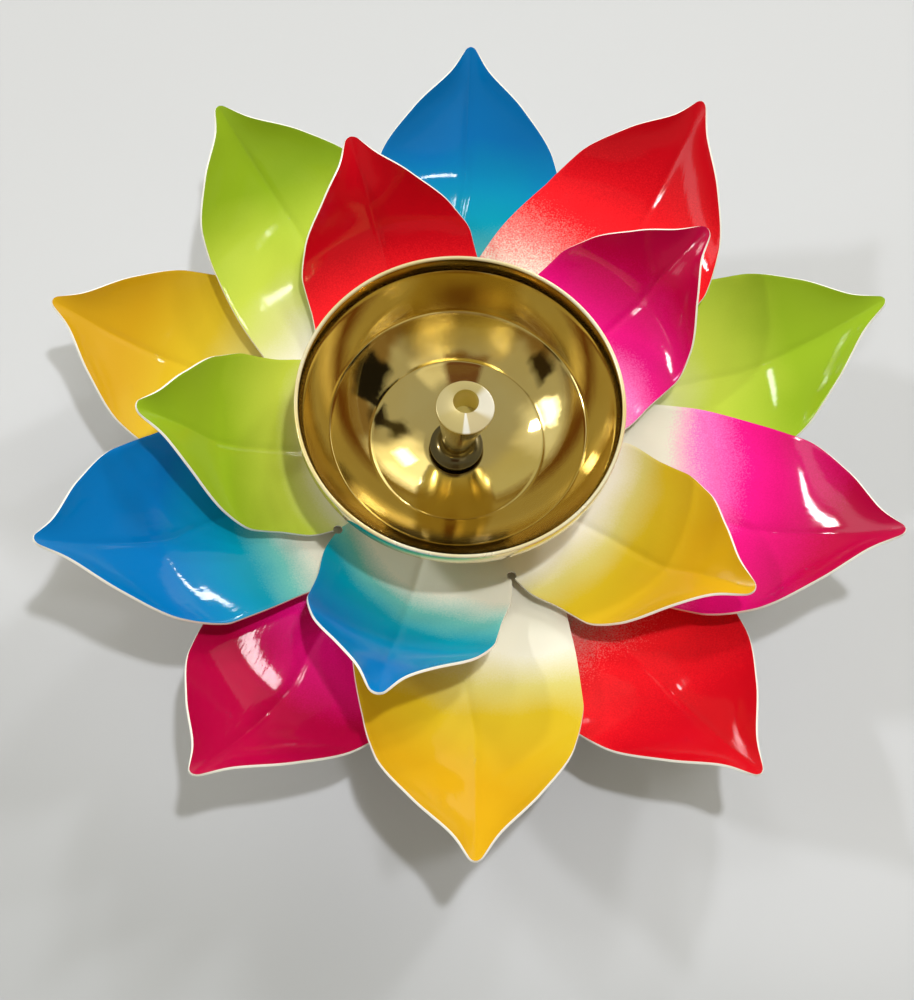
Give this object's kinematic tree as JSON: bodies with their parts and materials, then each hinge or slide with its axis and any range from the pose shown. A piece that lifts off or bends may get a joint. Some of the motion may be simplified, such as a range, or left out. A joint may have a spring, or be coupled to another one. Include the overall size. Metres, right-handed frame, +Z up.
{
  "type": "lotus diya oil lamp",
  "caption": "Brass oil-lamp bowl with a wick post, clamped on stacked tiers of enamelled lotus petals over a small pressed foot.",
  "frame": {"origin": "on the table, under the middle of the bowl, which is the stack's turning axis", "axes": "+Z up along the stud; +Y away from the pictured front"},
  "size_m": [0.204, 0.2075, 0.0534],
  "materials": {
    "petal_enamel": "gloss enamel airbrushed from a cream root to a red, magenta, yellow, blue or green tip, over cream on the back and edge",
    "foot_enamel": "gloss cream enamel on pressed steel",
    "zinc_steel": "plain zinc-plated steel",
    "bowl_brass": "turned and polished brass with fine turned grooves",
    "post_brass": "turned brass with a faced top",
    "seal_rubber": "thin black sealing washer"
  },
  "bodies": {
    "stand": {"foot": "foot_enamel", "foot_washer": "zinc_steel", "clamp_nut": "zinc_steel"},
    "lower_petals": {"lower_tier": "petal_enamel", "lower_spacer": "zinc_steel"},
    "middle_petals": {"middle_tier": "petal_enamel", "upper_spacer": "zinc_steel"},
    "upper_petals": {"upper_tier": "petal_enamel"},
    "bowl_body": {"bowl": "bowl_brass", "seal_washer": "seal_rubber"},
    "post_body": {"wick_post": "post_brass"}
  },
  "joints": [
    {"name": "lower_tier_turn", "type": "hinge", "parent": "stand", "child": "lower_petals", "pos_m": [0, 0, 0.0108], "axis": [0, 0, 1], "continuous": true},
    {"name": "middle_tier_turn", "type": "hinge", "parent": "lower_petals", "child": "middle_petals", "pos_m": [0, 0, 0.0152], "axis": [0, 0, 1], "range_deg": [-12, 12]},
    {"name": "upper_tier_turn", "type": "hinge", "parent": "middle_petals", "child": "upper_petals", "pos_m": [0, 0, 0.0182], "axis": [0, 0, 1], "continuous": true},
    {"name": "bowl_lift_off", "type": "slide", "parent": "stand", "child": "bowl_body", "axis": [0, 0, 1], "range_m": [0, 0.05]},
    {"name": "wick_post_turn", "type": "hinge", "parent": "bowl_body", "child": "post_body", "pos_m": [0, 0, 0.0215], "axis": [0, 0, 1], "continuous": true}
  ]
}
